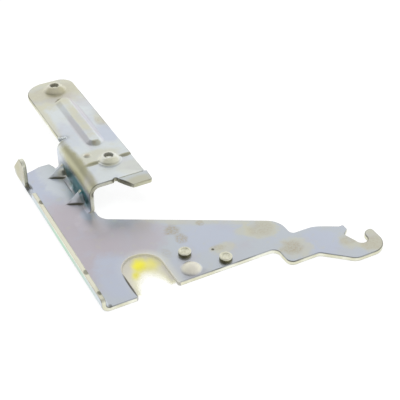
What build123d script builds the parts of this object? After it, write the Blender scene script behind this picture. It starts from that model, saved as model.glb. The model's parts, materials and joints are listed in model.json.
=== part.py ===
from build123d import *
import os
from math import cos, radians, sin, tan

# Dishwasher door hinge: one folded sheet-steel arm with two studs riveted into it.
# Millimetres. The origin is on the pivot axis, at the middle of the arm plate's thickness.
# X runs towards the spring hook, Y runs along the door strip, and Z is up, square to the plate.

# Sheet and bends
sheet = 3.0
bend_inside = 2.5
crown_inside = 4.5
plate_top = sheet / 2
plate_bottom = -sheet / 2
bend_outside = bend_inside + sheet
crown_outside = crown_inside + sheet

# Pan and pivot slot
pivot_radius = 12.7
slot_depth = 22.0
slot_lead_in = 1.6
pan_length = 147.8
pan_reach = 35.8
near_edge = -slot_depth
far_edge = near_edge + pan_length
left_face = -pan_reach
pan_left = left_face + bend_outside

# Stiffening flange and stop ear, both turned up along the left side, with a gap between them
flange_height = 6.5
flange_length = 114.6
flange_round = 2.6
flange_foot_round = 1.2
gap_length = 13.2
gap_height = 1.2
ear_height = 20.3
ear_length = 20.7
ear_crest = 6.7
ear_far_height = 5.5
ear_undercut = 5.0
ear_round = 3.6
ear_foot_round = 3.0
flange_level = plate_top + flange_height
gap_level = plate_top + gap_height
ear_level = plate_top + ear_height
ear_far_level = plate_top + ear_far_height
flange_far = near_edge + flange_length
ear_near = flange_far + gap_length
ear_far = ear_near + ear_length

# Upright wall between the pan and the raised sheet
wall_offset = 7.1
wall_near = 62.8
wall_length = 56.5
wall_relief = 1.7
wall_left = -wall_offset
wall_right = wall_left + sheet
wall_far = wall_near + wall_length
wall_tangent = wall_left - bend_inside
crown_tangent = wall_left + crown_outside

# Far end of the pan, cut back on its left
pan_far_inset = 2.0
pan_far_flat = 7.4
pan_far_slope = 22.0
pan_far_round = 1.3
pan_far_right = wall_tangent - pan_far_inset
pan_far_left = pan_far_right - pan_far_flat
pan_left_far = far_edge - (pan_far_left - pan_left) * tan(radians(pan_far_slope))

# Raised sheet: a low pad, a joggle up and the long door strip
pad_rise = 20.4
pad_length = 21.7
joggle_rise = 0.8
joggle_run = 2.0
strip_inset = 2.8
strip_width = 35.7
strip_left_round = 15.0
strip_right_round = 9.5
pad_top = plate_top + pad_rise
strip_top = pad_top + joggle_rise
pad_under = pad_top - sheet
strip_under = strip_top - sheet
joggle_far = wall_near + pad_length
joggle_near = joggle_far - joggle_run
strip_left = wall_left + strip_inset
strip_right = strip_left + strip_width

# Formed screw bosses on the strip, near and far, and the margin of strip beyond the far one
screw_line = 16.0
screw_start = 21.4
screw_spacing = 97.0
screw_hole = 6.0
boss_rim = 1.3
near_boss_base = 14.0
near_boss_height = 2.8
far_boss_base = 16.0
far_boss_height = 3.6
strip_margin = 4.6
lug_margin = 1.0
lug_round = 0.3
near_screw = (screw_line, wall_near + screw_start)
far_screw = (screw_line, near_screw[1] + screw_spacing)
strip_far = far_screw[1] + far_boss_base / 2 + strip_margin
boss_crest = screw_hole / 2 + boss_rim
lug_radius = near_boss_base / 2 + lug_margin

# Long rib and small pip on the strip
rib_line = 15.7
rib_start = 17.3
rib_length = 66.5
rib_width = 12.6
rib_crest = 6.2
rib_height = 2.2
pip_inset = 4.5
pip_start = 9.6
pip_radius = 2.6
pip_height = 1.0
rib_middle = (rib_line, near_screw[1] + rib_start + rib_length / 2)
pip_place = (crown_tangent + pip_inset, near_screw[1] + pip_start)

# Lip beyond a crease on the pad's near edge
lip_overhang = 1.4
lip_width = 20.2
lip_skew = 6.6
lip_reach = 9.4
lip_droop = 7.0
lip_round = 1.8
lip_relief = 1.3
crease_width = 0.7
crease_depth = 0.35
crease_margin = 1.2
lip_right = strip_right + lip_overhang
lip_left = lip_right - lip_width
crease_left = lip_left + crease_margin
crease_right = strip_right - crease_margin

# Gussets pressed into the bend between pan and wall
gusset_start = 15.1
gusset_spacing = 32.1
gusset_leg = 10.6
gusset_width = 10.0
gusset_ridge = 1.3
gusset_near = wall_near + gusset_start
gusset_stations = (gusset_near, gusset_near + gusset_spacing)

# Arm and neck in plan
arm_angle = 28.7
arm_setback = 8.4
arm_root_round = 9.0
neck_line = 94.7
neck_depth = 14.5
neck_round = 13.0
valley_round = 3.0
belly_lead = 15.5
belly_length = 21.0
belly_depth = 15.5
belly_round = 4.5
arm_fall = tan(radians(arm_angle))
arm_root = wall_near - arm_setback
neck_level = arm_root - (neck_line - wall_right) * arm_fall
valley_level = neck_level - neck_depth
belly_left = neck_line - belly_lead
belly_right = belly_left + belly_length
belly_level = near_edge - belly_depth

# Spring hook in plan, with a tooth beside its mouth
shelf_length = 15.9
shelf_round = 20.0
tooth_start = 14.3
tooth_width = 3.0
tooth_rise = 0.2
tooth_depth = 4.6
tooth_round = 0.9
throat_radius = 4.0
throat_lead = 2.4
throat_drop = 24.0
mouth_lead = 7.0
mouth_rise = 7.9
mouth_round = 1.3
finger_width = 7.4
finger_rise = 5.4
finger_inner_round = 5.0
finger_outer_round = 1.8
hook_wall = 10.4
hook_round = 11.0
heel_lead = 12.8
heel_round = 9.0
shelf_end = neck_line + shelf_length
tooth_left = shelf_end + tooth_start
tooth_right = tooth_left + tooth_width
tooth_foot = valley_level - tooth_start * arm_fall
tooth_top = tooth_foot + tooth_rise
throat_x = tooth_right + throat_lead
throat_y = valley_level - throat_drop
throat_left = throat_x - throat_radius
throat_right = throat_x + throat_radius
mouth_left = throat_x - mouth_lead
mouth_level = throat_y + mouth_rise
finger_right = throat_right + finger_width
finger_top = throat_y + finger_rise
hook_bottom = throat_y - throat_radius - hook_wall
hook_heel = throat_x - heel_lead

# Dome and riveted studs in the arm
dome_place = (24.8, -14.4)
dome_radius = 6.6
dome_height = 2.8
stud_places = {"inner_stud": (27.6, -0.4), "outer_stud": (47.3, -16.0)}
stud_radius = 4.0
stud_height = 2.4
stud_break = 0.4
stud_dish_radius = 2.6
stud_dish_depth = 0.25
shank_radius = 2.5
tail_radius = 3.3
tail_depth = 0.8
rivet_clearance = 0.02

# Pressed forms: rounded crests, blended bases, and hollow undersides that are narrower all round
crest_round = 0.8
base_blend = 1.6
small_blend = 0.7
form_inset = 1.1
edge_tolerance = 0.05


def round_corners(profile, corners):
    """Fillets a profile that is being drawn at each (point, radius) pair."""
    for point, radius in corners:
        fillet(profile.vertices().sort_by_distance(point)[0], radius=radius)


# Flat plate: pan, arm, neck and hook in one outline round the pivot slot
plate_corners = [
    ((-pivot_radius, near_edge), slot_lead_in),
    ((pivot_radius, near_edge), slot_lead_in),
    ((belly_left, near_edge), belly_round),
    ((belly_left, belly_level), belly_round),
    ((belly_right, belly_level), belly_round),
    ((hook_heel, hook_bottom), heel_round),
    ((finger_right, hook_bottom), hook_round),
    ((finger_right, finger_top), finger_outer_round),
    ((throat_right, finger_top), finger_inner_round),
    ((mouth_left, mouth_level), mouth_round),
    ((tooth_right, tooth_top), tooth_round),
    ((shelf_end, valley_level), shelf_round),
    ((neck_line, valley_level), valley_round),
    ((neck_line, neck_level), neck_round),
    ((wall_right, arm_root), arm_root_round),
    ((pan_far_right, far_edge), pan_far_round),
]
with BuildPart() as plate:
    with BuildSketch(Plane.XY.offset(plate_bottom)) as plate_profile:
        with BuildLine():
            Polyline(
                (pan_left, pan_left_far),
                (pan_left, near_edge),
                (-pivot_radius, near_edge),
                (-pivot_radius, 0),
            )
            CenterArc((0, 0), pivot_radius, 180, -180)
            Polyline(
                (pivot_radius, 0),
                (pivot_radius, near_edge),
                (belly_left, near_edge),
                (belly_left, belly_level),
                (belly_right, belly_level),
                (hook_heel, hook_bottom),
                (finger_right, hook_bottom),
                (finger_right, finger_top),
                (throat_right, finger_top),
                (throat_right, throat_y),
            )
            CenterArc((throat_x, throat_y), throat_radius, 0, -180)
            Polyline(
                (throat_left, throat_y),
                (mouth_left, mouth_level),
                (tooth_right, tooth_top - tooth_depth),
                (tooth_right, tooth_top),
                (tooth_left, tooth_foot),
                (shelf_end, valley_level),
                (neck_line, valley_level),
                (neck_line, neck_level),
                (wall_right, arm_root),
                (wall_right, wall_near),
                (wall_tangent, wall_near),
                (wall_tangent, wall_far + wall_relief),
                (pan_far_right, far_edge),
                (pan_far_left, far_edge),
                (pan_left, pan_left_far),
            )
        make_face()
        round_corners(plate_profile, plate_corners)
    extrude(amount=sheet)

# Left side: one upright leg along the pan, trimmed to the low flange, the gap and the tall ear
side_corners = [
    ((near_edge, flange_level), flange_round),
    ((flange_far, flange_level), flange_round),
    ((flange_far, gap_level), flange_foot_round),
    ((ear_near, gap_level), ear_foot_round),
    ((ear_near, ear_level), ear_round),
    ((ear_near + ear_crest, ear_level), ear_round),
    ((ear_far, ear_far_level), ear_round),
]
with BuildPart() as left_side:
    with BuildSketch(Plane.XZ.offset(-near_edge)):
        with BuildLine():
            bend_level = plate_top + bend_inside
            CenterArc((pan_left, bend_level), bend_outside, 180, 90)
            Line((pan_left, plate_bottom), (pan_left, plate_top))
            CenterArc((pan_left, bend_level), bend_inside, 270, -90)
            Polyline(
                (left_face + sheet, bend_level),
                (left_face + sheet, ear_level),
                (left_face, ear_level),
                (left_face, bend_level),
            )
        make_face()
    extrude(amount=near_edge - ear_far)
    with BuildSketch(Plane.YZ.offset(left_face)) as side_profile:
        with BuildLine():
            Polyline(
                (near_edge, plate_bottom),
                (near_edge, flange_level),
                (flange_far, flange_level),
                (flange_far, gap_level),
                (ear_near, gap_level),
                (ear_near, ear_level),
                (ear_near + ear_crest, ear_level),
                (ear_far, ear_far_level),
                (ear_far - ear_undercut, plate_bottom),
                close=True,
            )
        make_face()
        round_corners(side_profile, side_corners)
    extrude(amount=bend_outside, mode=Mode.INTERSECT)


def raised_section(station, top):
    """Section across the wall, its two bends and the raised sheet, whose upper face is at top."""
    foot = (wall_tangent, plate_top + bend_inside)
    crown = (crown_tangent, top - crown_outside)
    with BuildSketch(Plane.XZ.offset(-station)) as section:
        with BuildLine():
            CenterArc(foot, bend_outside, 270, 90)
            Line((wall_right, foot[1]), (wall_right, crown[1]))
            CenterArc(crown, crown_inside, 180, -90)
            Polyline(
                (crown_tangent, top - sheet),
                (strip_right, top - sheet),
                (strip_right, top),
                (crown_tangent, top),
            )
            CenterArc(crown, crown_outside, 90, 90)
            Line((wall_left, crown[1]), (wall_left, foot[1]))
            CenterArc(foot, bend_inside, 0, -90)
            Line((wall_tangent, plate_top), (wall_tangent, plate_bottom))
        make_face()
    return section.sketch


# Raised sheet: wall and pad, the joggle, then the strip running on past the wall's far end
with BuildPart() as raised_sheet:
    extrude(raised_section(wall_near, pad_top), amount=wall_near - joggle_near)
    joggle_ends = [raised_section(joggle_near, pad_top), raised_section(joggle_far, strip_top)]
    loft([end.face() for end in joggle_ends], ruled=True)
    extrude(raised_section(joggle_far, strip_top), amount=joggle_far - wall_far)
    with BuildSketch(Plane.XY.offset(strip_under)) as strip_profile:
        with BuildLine():
            Polyline(
                (crown_tangent, wall_far),
                (strip_right, wall_far),
                (strip_right, strip_far),
                (strip_left, strip_far),
                (strip_left, wall_far + wall_relief),
                (crown_tangent, wall_far + wall_relief),
                close=True,
            )
        make_face()
        strip_corners = [
            ((strip_right, strip_far), strip_right_round),
            ((strip_left, strip_far), strip_left_round),
        ]
        round_corners(strip_profile, strip_corners)
    extrude(amount=sheet)

# Lip: a short tongue that droops from the pad's near edge
lip_up = (0, -sin(radians(lip_droop)), cos(radians(lip_droop)))
with BuildPart() as lip:
    with BuildSketch(Plane(origin=(0, wall_near, pad_top), x_dir=(1, 0, 0), z_dir=lip_up)) as lip_profile:
        with BuildLine():
            Polyline(
                (lip_left, 0),
                (lip_left + lip_skew, -lip_reach),
                (lip_right, -lip_reach),
                (lip_right, 0),
                close=True,
            )
        make_face()
        lip_corners = [
            ((lip_left + lip_skew, -lip_reach), lip_round),
            ((lip_right, -lip_reach), lip_round),
        ]
        round_corners(lip_profile, lip_corners)
    extrude(amount=-sheet)


def boss_form(place, base, crest, height, level, rounding=crest_round):
    """Frustum of a formed boss at a place, standing on a level, with its crest's edge rounded."""
    with BuildPart(Plane(origin=(*place, level))) as boss:
        Cone(base, crest, height, align=(Align.CENTER, Align.CENTER, Align.MIN))
        fillet(boss.edges().group_by(Axis.Z)[-1], radius=rounding)
    return boss.part


def dome_form(place, radius, height, level):
    """Spherical cap at a place, standing on a level."""
    ball = (radius**2 + height**2) / (2 * height)
    with BuildPart() as dome:
        with BuildSketch(Plane(origin=(*place, level), x_dir=(1, 0, 0), z_dir=(0, -1, 0))):
            with BuildLine():
                RadiusArc((0, height), (radius, 0), ball)
                Polyline((radius, 0), (0, 0), (0, height))
            make_face()
        revolve(axis=Axis((*place, level), (0, 0, 1)))
    return dome.part


def rib_form(level, inset=0.0):
    """Long rib with sloping sides and round ends on a level, narrower all round by inset."""
    with BuildPart() as rib:
        for height, width in ((0, rib_width), (rib_height, rib_crest)):
            across = width - 2 * inset
            with BuildSketch(Plane(origin=(*rib_middle, level + height))):
                SlotOverall(rib_length - rib_width + across, across, rotation=90)
        loft(ruled=True)
        fillet(rib.edges().group_by(Axis.Z)[-1], radius=base_blend)
    return rib.part


def gusset_form(station, slip=0.0):
    """Half pyramid in the corner of pan and wall, slipped out through the bend by slip."""
    corner = (wall_left + slip, station, plate_top - slip)
    tip = Vertex(corner[0] - gusset_leg, corner[1], corner[2])
    with BuildPart() as gusset:
        with BuildSketch(Plane(origin=corner, x_dir=(0, 1, 0), z_dir=(1, 0, 0))) as back:
            with BuildLine():
                Polyline((-gusset_width / 2, 0), (gusset_width / 2, 0), (0, gusset_leg), close=True)
            make_face()
            round_corners(back, [((0, gusset_leg), gusset_ridge)])
        loft([back.sketch.face(), tip], ruled=True)
    return gusset.part


def stud_form(place, clearance=0.0):
    """Stud at a place: dished head, shank through the sheet and a tail peened flush below."""
    head_top = plate_top + stud_height
    shank = shank_radius + clearance
    tail = tail_radius + clearance
    with BuildPart() as stud:
        with BuildSketch(Plane(origin=(*place, 0), x_dir=(1, 0, 0), z_dir=(0, -1, 0))):
            with BuildLine():
                Polyline(
                    (0, plate_bottom),
                    (tail, plate_bottom),
                    (shank, plate_bottom + tail_depth),
                    (shank, plate_top),
                    (stud_radius, plate_top),
                    (stud_radius, head_top - stud_break),
                    (stud_radius - stud_break, head_top),
                    (stud_dish_radius, head_top),
                    (stud_dish_radius - stud_dish_depth, head_top - stud_dish_depth),
                    (0, head_top - stud_dish_depth),
                    close=True,
                )
            make_face()
        revolve(axis=Axis((*place, 0), (0, 0, 1)))
    return stud.part


# Forms pressed up out of the sheet, and the hollow that each leaves on the underside
pressed_forms = [
    boss_form(near_screw, lug_radius + joggle_rise, lug_radius, joggle_rise, pad_top, rounding=lug_round),
    boss_form(near_screw, near_boss_base / 2, boss_crest, near_boss_height, strip_top),
    boss_form(far_screw, far_boss_base / 2, boss_crest, far_boss_height, strip_top),
    rib_form(strip_top),
    dome_form(pip_place, pip_radius, pip_height, strip_top),
    dome_form(dome_place, dome_radius, dome_height, plate_top),
]
hollow_crest = boss_crest - form_inset / 2
hollow_lug = lug_radius - form_inset
hollow_forms = [
    boss_form(near_screw, hollow_lug + joggle_rise, hollow_lug, joggle_rise, pad_under, rounding=lug_round),
    boss_form(near_screw, near_boss_base / 2 - form_inset, hollow_crest, near_boss_height, strip_under),
    boss_form(far_screw, far_boss_base / 2 - form_inset, hollow_crest, far_boss_height, strip_under),
    rib_form(strip_under, form_inset),
    dome_form(pip_place, pip_radius - form_inset, pip_height, strip_under),
    dome_form(dome_place, dome_radius - form_inset, dome_height, plate_bottom),
]
for station in gusset_stations:
    pressed_forms.append(gusset_form(station))
    hollow_forms.append(gusset_form(station, slip=sheet))
rivet_holes = [stud_form(place, rivet_clearance) for place in stud_places.values()]

# Where each round or long form runs out into the sheet: its middle, extents, level and blend
form_bases = [
    (rib_middle, rib_width, rib_length, strip_top, base_blend),
    (near_screw, near_boss_base, near_boss_base, strip_top, small_blend),
    (far_screw, far_boss_base, far_boss_base, strip_top, base_blend),
    (pip_place, 2 * pip_radius, 2 * pip_radius, strip_top, small_blend),
    (dome_place, 2 * dome_radius, 2 * dome_radius, plate_top, small_blend),
]


def base_edges(part, place, width, length, level):
    """Edges of a part on a level whose middles lie within a width and length about a place."""
    edges = part.edges()
    for axis, middle, extent in ((Axis.X, place[0], width), (Axis.Y, place[1], length), (Axis.Z, level, 0)):
        reach = extent / 2 + edge_tolerance
        edges = edges.filter_by_position(axis, middle - reach, middle + reach)
    return edges


# Whole folded sheet, with its pressed forms, crease, relief hole, screw holes and rivet holes
with BuildPart() as hinge_arm:
    add([plate.part, left_side.part, raised_sheet.part, lip.part])
    add(pressed_forms)
    for middle, width, length, level, blend in form_bases:
        fillet(base_edges(hinge_arm, middle, width, length, level), radius=blend)
    add(hollow_forms, mode=Mode.SUBTRACT)
    add(rivet_holes, mode=Mode.SUBTRACT)
    with BuildSketch(Plane.XY.offset(strip_top)):
        with Locations(near_screw, far_screw):
            Circle(screw_hole / 2)
        with Locations((lip_left - lip_relief, wall_near)):
            Circle(lip_relief)
    extrude(amount=2 * sheet, both=True, mode=Mode.SUBTRACT)
    with BuildSketch(Plane.XY.offset(pad_top)):
        with Locations(((crease_left + crease_right) / 2, wall_near)):
            Rectangle(crease_right - crease_left, crease_width)
    extrude(amount=-crease_depth, mode=Mode.SUBTRACT)
hinge_arm.part.label = "hinge_arm"

# Two like studs, peened into the arm
studs = {}
for name, place in stud_places.items():
    with BuildPart() as studs[name]:
        add(stud_form(place))
    studs[name].part.label = name

os.makedirs("parts", exist_ok=True)
export_step(hinge_arm.part, "parts/hinge_arm.step")
for name, stud in studs.items():
    export_step(stud.part, f"parts/{name}.step")
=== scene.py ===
import json
from math import cos, pi, radians, sin
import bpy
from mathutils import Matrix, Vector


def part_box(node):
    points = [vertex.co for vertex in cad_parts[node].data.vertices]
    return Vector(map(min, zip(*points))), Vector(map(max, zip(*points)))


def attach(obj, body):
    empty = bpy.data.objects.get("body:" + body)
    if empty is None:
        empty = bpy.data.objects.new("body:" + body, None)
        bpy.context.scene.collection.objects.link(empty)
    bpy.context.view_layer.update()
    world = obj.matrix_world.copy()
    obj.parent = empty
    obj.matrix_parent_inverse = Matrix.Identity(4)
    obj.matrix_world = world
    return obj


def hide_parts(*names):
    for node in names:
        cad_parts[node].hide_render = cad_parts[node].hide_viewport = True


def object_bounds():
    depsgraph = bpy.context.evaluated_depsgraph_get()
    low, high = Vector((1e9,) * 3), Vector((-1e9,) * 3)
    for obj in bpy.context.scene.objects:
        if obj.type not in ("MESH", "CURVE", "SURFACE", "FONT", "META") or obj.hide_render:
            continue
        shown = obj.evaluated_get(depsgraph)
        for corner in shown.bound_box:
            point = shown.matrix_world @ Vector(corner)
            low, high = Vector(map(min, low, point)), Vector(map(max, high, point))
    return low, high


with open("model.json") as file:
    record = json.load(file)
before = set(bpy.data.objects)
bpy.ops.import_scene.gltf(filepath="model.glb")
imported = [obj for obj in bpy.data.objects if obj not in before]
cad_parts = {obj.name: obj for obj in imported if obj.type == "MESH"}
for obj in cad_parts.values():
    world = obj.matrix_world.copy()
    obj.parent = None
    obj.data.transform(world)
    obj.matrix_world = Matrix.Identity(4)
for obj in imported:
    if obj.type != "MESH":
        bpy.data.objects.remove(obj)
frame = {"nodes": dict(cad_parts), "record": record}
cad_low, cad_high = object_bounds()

from types import SimpleNamespace

import bmesh
import bpy
from bpy.props import FloatProperty, FloatVectorProperty, IntProperty, PointerProperty
from bpy.types import Operator, Panel, PropertyGroup
from mathutils import Vector
from mathutils.bvhtree import BVHTree

bl_info = {
    "name": "Dishwasher door hinge",
    "version": (1, 0, 0),
    "blender": (4, 5, 0),
    "location": "3D View > Sidebar > Hinge",
    "description": "Dresses a folded zinc-plated hinge arm, its studs and the grease in its pivot slot",
    "category": "Object",
}

# Units and places that come from the frame
MM = 0.001
BODY = "root"
STUD_BOXES = [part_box("inner_stud"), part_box("outer_stud")]
STUD_PLACES = [(low + high) / 2 for low, high in STUD_BOXES]
STUD_LOW, STUD_HIGH = STUD_BOXES[0]
PIVOT = {mount["name"]: mount for mount in frame["record"]["mounts"]}["pivot"]
SLOT_RADIUS_MM = PIVOT["dims"]["r_mm"]
SLOT_RADIUS = SLOT_RADIUS_MM * MM
SHEET = PIVOT["dims"]["length_mm"] * MM
PLATE_TOP = SHEET / 2
PLATE_BOTTOM = -SHEET / 2


def colour_property(name, description, default):
    """A colour setting."""
    return FloatVectorProperty(name=name, description=description, default=default, size=3, subtype="COLOR")


def length_property(name, description, default):
    """A length setting in metres."""
    return FloatProperty(name=name, description=description, default=default, unit="LENGTH")


def factor_property(name, description, default):
    """A setting from 0 to 1."""
    return FloatProperty(
        name=name, description=description, default=default, min=0.0, max=1.0, subtype="FACTOR"
    )


class SheetSettings(PropertyGroup):
    """Edges and finish of the folded sheet."""

    edge_round: length_property("Edge round", "Rolled-over rim of the sheared edges", 0.55 * MM)
    clean: colour_property("Clean zinc", "Bluish bare plating", (0.655, 0.70, 0.75))
    white: colour_property("White zinc", "Brighter plating of the raised strip", (0.79, 0.84, 0.85))
    sky: colour_property("Blue bloom", "Blue of the passivation", (0.64, 0.69, 0.81))
    lilac: colour_property("Lilac bloom", "Pinkish lilac of the passivation", (0.645, 0.60, 0.65))
    # Painted light: this lighter lilac lightens the plate at the foot of the wall
    foot_light: colour_property("Light lilac", "Light lilac bloom at the foot of the wall", (0.80, 0.75, 0.81))
    beige: colour_property("Beige bloom", "Yellowish, handled plating", (0.74, 0.73, 0.58))
    brown: colour_property("Brown marks", "Finger marks and old stains", (0.60, 0.53, 0.40))
    cream: colour_property("Cream", "Polished, slightly yellow plating", (1.0, 0.98, 0.81))
    # Partly painted shade: olive darkens the bosses' near sides and the joggle's risers; elsewhere it is the
    # dull plating's colour
    olive: colour_property("Olive", "Dull plating round the formed parts", (0.51, 0.495, 0.31))
    teal: colour_property("Teal", "Unworn plating on the upright wall", (0.06, 0.25, 0.27))
    # Painted shade and reflection, not a colour of the plating: it darkens the arm's root, the plate below
    # the dome and the near gusset
    shade: colour_property("Shade", "Dull grey plating at the foot of the wall", (0.48, 0.50, 0.54))
    # Painted shade and reflection: dark fills the boss holes, creases, steps, gusset bases, the ear's relief
    # gap and the slot's left edge, and makes the broken dark line along the rims; it also makes a few dark
    # spots
    dark: colour_property("Dark", "Dirt in holes, dents and creases", (0.10, 0.095, 0.065))
    film: colour_property("Film", "Thin grease on the slot's wall", (0.63, 0.62, 0.60))
    mint: colour_property("Mint", "Greenish white outside of the flange", (0.46, 0.69, 0.52))
    sheared: colour_property("Sheared edge", "Pale plating on the cut edges", (0.90, 0.91, 0.80))
    worn: colour_property("Worn edge", "Yellowish plating on the cut edges", (0.70, 0.69, 0.52))
    roughness: factor_property("Roughness", "Roughness of the clean plating", 0.34)


class StudSettings(PropertyGroup):
    """Sizes and finish of the riveted studs."""

    radius: length_property("Head radius", "Radius of a stud's head", (STUD_HIGH.x - STUD_LOW.x) / 2)
    rounding: length_property("Head rounding", "Rounding of the head's rim", 0.5 * MM)
    neck: length_property("Neck radius", "Radius of the rivet in the sheet", 2.5 * MM)
    tail: length_property("Tail radius", "Radius of the peened tail", 3.3 * MM)
    peen: length_property("Tail height", "Height of the peened tail in its countersink", 0.8 * MM)
    ring: length_property("Ring radius", "Radius of the ring turned in the head", 2.6 * MM)
    dish: length_property("Dish depth", "Depth of the head's face inside the ring", 0.25 * MM)
    count: IntProperty(name="Count", description="How many like studs", default=len(STUD_PLACES), min=1)
    plating: colour_property("Plating", "Colour of the studs", (0.88, 0.87, 0.71))
    dust: colour_property("Dust", "Olive dirt in patches on the studs", (0.36, 0.36, 0.18))
    # Painted shade: dark on the heads' sides and below them
    side_shade: colour_property("Side shade", "Dark dirt round the foot of the heads", (0.15, 0.135, 0.05))
    roughness: factor_property("Roughness", "Roughness of the plating", 0.36)


class GreaseSettings(PropertyGroup):
    """Reach and colour of the grease in the pivot slot."""

    reach: length_property("Reach", "How far past the pivot axis the thin film spreads", 9.5 * MM)
    climb: length_property("Climb", "How far up the slot's wall the grease clings", 0.7 * MM)
    film: length_property("Film", "Thickness of the film at its inner rim", 0.06 * MM)
    yellow: colour_property("Yellow", "Colour of thick grease", (0.95, 0.88, 0.06))
    pale: colour_property("Pale", "Colour of the thin film", (1.0, 0.985, 0.72))
    # Painted shade: the grease against the slot's wall is darkened
    wall_shade: colour_property("Wall shade", "Colour of the grease against the slot's wall", (0.64, 0.62, 0.54))
    roughness: factor_property("Roughness", "Roughness of the grease", 0.35)


class StageSettings(PropertyGroup):
    """Camera, light and floor."""

    eye: FloatVectorProperty(
        name="Eye", description="Where the camera stands", size=3, subtype="TRANSLATION",
        default=(-169.247 * MM, -392.957 * MM, 380.806 * MM),
    )
    turn: FloatProperty(
        name="Turn", description="How far the camera looks round from +Y to +X", default=radians(27.834),
        subtype="ANGLE",
    )
    tilt: FloatProperty(
        name="Tilt", description="How far the camera looks down", default=radians(37.626), subtype="ANGLE"
    )
    lens: FloatProperty(name="Lens", description="Focal length in millimetres", default=86.4)
    horizon: FloatProperty(name="Horizon", description="Brightness at the studio's horizon", default=1.06)
    overhead: FloatProperty(name="Overhead", description="Brightness of the studio overhead", default=0.58)
    lamp: FloatProperty(name="Lamp", description="Power of the soft lamp", default=7.0, unit="POWER")
    lamp_size: length_property("Lamp size", "Width of the soft lamp", 1.0)
    floor_size: length_property("Floor size", "Width of the floor", 40.0)
    floor: colour_property("Floor", "Colour of the floor in diffuse light", (0.30, 0.30, 0.30))
    glow: FloatProperty(name="Glow", description="Light that whitens the floor to the camera", default=0.80)


# Sockets of a Mix node that is set to colours
MIX_FIRST = 6
MIX_SECOND = 7
MIX_RESULT = 2
# Middle of a noise node's values
NOISE_MIDDLE = 0.5


class Field:
    """A socket of a node tree. Sums and products of fields add Math nodes."""

    def __init__(self, tree, socket=None):
        self.tree = tree
        self.socket = socket

    def node(self, kind, inputs=None, output=0, **settings):
        """Adds a node: its settings first, then the values or links of its sockets."""
        made = self.tree.nodes.new(kind)
        for name, value in settings.items():
            setattr(made, name, value)
        for key, value in (inputs or {}).items():
            if isinstance(value, Field):
                self.tree.links.new(value.socket, made.inputs[key])
            else:
                made.inputs[key].default_value = value
        return Field(self.tree, made.outputs[output]) if made.outputs else None

    def sibling(self, output):
        """Another output of the same node."""
        return Field(self.tree, self.socket.node.outputs[output])

    def math(self, operation, *terms):
        """A Math node."""
        return self.node("ShaderNodeMath", dict(enumerate(terms)), operation=operation)

    def __add__(self, other):
        return self.math("ADD", self, other)

    def __radd__(self, other):
        return self.math("ADD", other, self)

    def __sub__(self, other):
        return self.math("SUBTRACT", self, other)

    def __rsub__(self, other):
        return self.math("SUBTRACT", other, self)

    def __mul__(self, other):
        return self.math("MULTIPLY", self, other)

    def __rmul__(self, other):
        return self.math("MULTIPLY", other, self)

    def root(self):
        """Square root."""
        return self.math("SQRT", self)

    def largest(self, other):
        """The larger of two values."""
        return self.math("MAXIMUM", self, other)

    def ease(self, low, high):
        """0 below low, 1 above high and a smooth step between them."""
        inputs = {"Value": self, "From Min": low, "From Max": high}
        return self.node("ShaderNodeMapRange", inputs, interpolation_type="SMOOTHSTEP")

    def span(self, low, high):
        """From low where this field is 0 to high where it is 1."""
        return low + (high - low) * self

    def swing(self, amount):
        """This noise about its middle, times an amount."""
        return (self - NOISE_MIDDLE) * amount

    def mix(self, first, second):
        """Colour mix from first to second by this field."""
        inputs = {"Factor": self, MIX_FIRST: first, MIX_SECOND: second}
        return self.node("ShaderNodeMix", inputs, output=MIX_RESULT, data_type="RGBA")

    def speckle(self, scale, seed, detail=3.0, roughness=0.55):
        """Noise on this field's vector."""
        moved = self.node("ShaderNodeMapping", {"Vector": self, "Location": (seed, seed, seed)})
        inputs = {"Vector": moved, "Scale": scale, "Detail": detail, "Roughness": roughness}
        return self.node("ShaderNodeTexNoise", inputs)

    def bump(self, strength, depth):
        """Normals of a surface with this field as its height."""
        return self.node("ShaderNodeBump", {"Strength": strength, "Distance": depth, "Height": self})

    def parts(self):
        """X, Y and Z of this field's vector."""
        first = self.node("ShaderNodeSeparateXYZ", {0: self})
        return [first, first.sibling(1), first.sibling(2)]


def rgba(colour):
    """A colour property with full alpha."""
    return (*colour, 1.0)


WHITE = (1.0, 1.0, 1.0, 1.0)


def new_material(name):
    """An empty node material and the field to start from."""
    material = bpy.data.materials.new(name)
    material.use_nodes = True
    material.node_tree.nodes.clear()
    return material, Field(material.node_tree)


def millimetres(start):
    """Object coordinates in millimetres."""
    place = start.node("ShaderNodeTexCoord", output="Object")
    return start.node("ShaderNodeVectorMath", {0: place, "Scale": 1 / MM}, operation="SCALE")


def surface(start, inputs):
    """Joins one principled shader to the material's output."""
    shader = start.node("ShaderNodeBsdfPrincipled", inputs)
    start.node("ShaderNodeOutputMaterial", {"Surface": shader})


def added(name, data):
    """A new object in the scene."""
    made = bpy.data.objects.new(name, data)
    bpy.context.scene.collection.objects.link(made)
    return made


def smooth_mesh(shape, name, sharp):
    """Turns a shape into a mesh that is smooth apart from edges with more than the sharp angle."""
    mesh = bpy.data.meshes.new(name)
    shape.to_mesh(mesh)
    shape.free()
    mesh.shade_smooth()
    mesh.set_sharp_from_angle(angle=sharp)
    return mesh


def evaluated_mesh(source, name):
    """The mesh that an object's modifiers make. The object itself is removed."""
    evaluated = source.evaluated_get(bpy.context.evaluated_depsgraph_get())
    mesh = bpy.data.meshes.new_from_object(evaluated)
    mesh.name = name
    bpy.data.objects.remove(source)
    return mesh


# Noises of the plating, in millimetres
BROAD = {"scale": 0.05, "seed": 3.0}
DRIFT = {"scale": 0.07, "seed": 11.0}
MOTTLE = {"scale": 0.16, "seed": 5.0, "detail": 2.0}
FINE = {"scale": 0.9, "seed": 7.0, "detail": 5.0, "roughness": 0.7}
RIM_BREAKS = {"scale": 0.06, "seed": 19.0, "detail": 1.0}
# How much the noises move the rims of the tints
MOTTLE_WANDER = 1.2
FINE_WANDER = 0.7
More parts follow.
